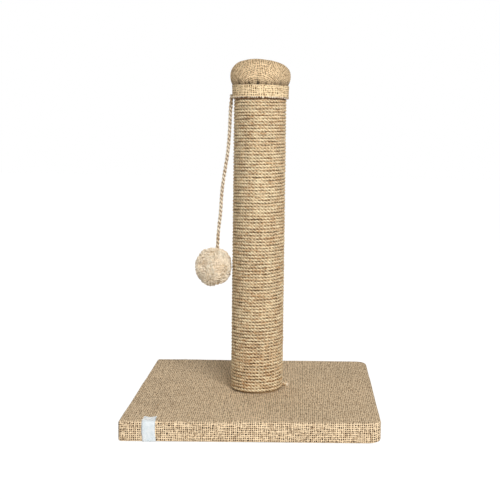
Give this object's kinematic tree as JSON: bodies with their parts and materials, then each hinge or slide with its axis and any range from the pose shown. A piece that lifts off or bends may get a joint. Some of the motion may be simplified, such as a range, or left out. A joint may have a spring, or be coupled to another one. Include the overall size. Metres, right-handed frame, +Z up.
{
  "type": "cat scratching post",
  "caption": "Free-standing cat scratching post: a square burlap-covered base, a rope-wound column with a padded burlap cap, and a yarn ball hanging from a cord under the cap.",
  "frame": {"origin": "centre of the base's underside, on the floor, below the post's axis", "axes": "+Z up along the post; +X to the right, away from the hanging ball; the front, with the label, faces -Y"},
  "size_m": [0.3, 0.3005, 0.4436],
  "materials": {
    "chipboard": "matte",
    "base_burlap": "matte",
    "staple_wire": "satin",
    "ribbon": "satin",
    "tube_cardboard": "matte",
    "plug_wood": "matte",
    "zinc_steel": "satin",
    "jute_rope": "matte",
    "foam": "matte",
    "cap_burlap": "matte",
    "band_burlap": "matte",
    "cream_cord": "matte",
    "ball_yarn": "matte"
  },
  "bodies": {
    "post": {"base_board": "chipboard", "base_cover": "base_burlap", "hem_staples": "staple_wire", "side_label": "ribbon", "post_tube": "tube_cardboard", "foot_plug": "plug_wood", "head_plug": "plug_wood", "insert_nut": "zinc_steel", "centre_bolt": "zinc_steel", "bolt_washer": "zinc_steel", "foot_staples": "staple_wire", "head_staples": "staple_wire", "rope_winding": "jute_rope", "cap_pad": "foam", "cap_cover": "cap_burlap", "cap_staples": "staple_wire", "cap_band": "band_burlap", "cord_end": "cream_cord"},
    "cord_top": {"cord_link": "cream_cord"},
    "toy": {"toy_cord": "cream_cord", "cord_knot": "cream_cord", "pompom": "ball_yarn"}
  },
  "joints": [
    {"name": "toy_swing_along", "type": "hinge", "parent": "post", "child": "cord_top", "pos_m": [-0.0364, 0, 0.3914], "axis": [1, 0, 0], "range_deg": [-80, 80]},
    {"name": "toy_swing_out", "type": "hinge", "parent": "cord_top", "child": "toy", "pos_m": [-0.0375, 0, 0.38], "axis": [0, 1, 0], "range_deg": [0, 80]}
  ]
}
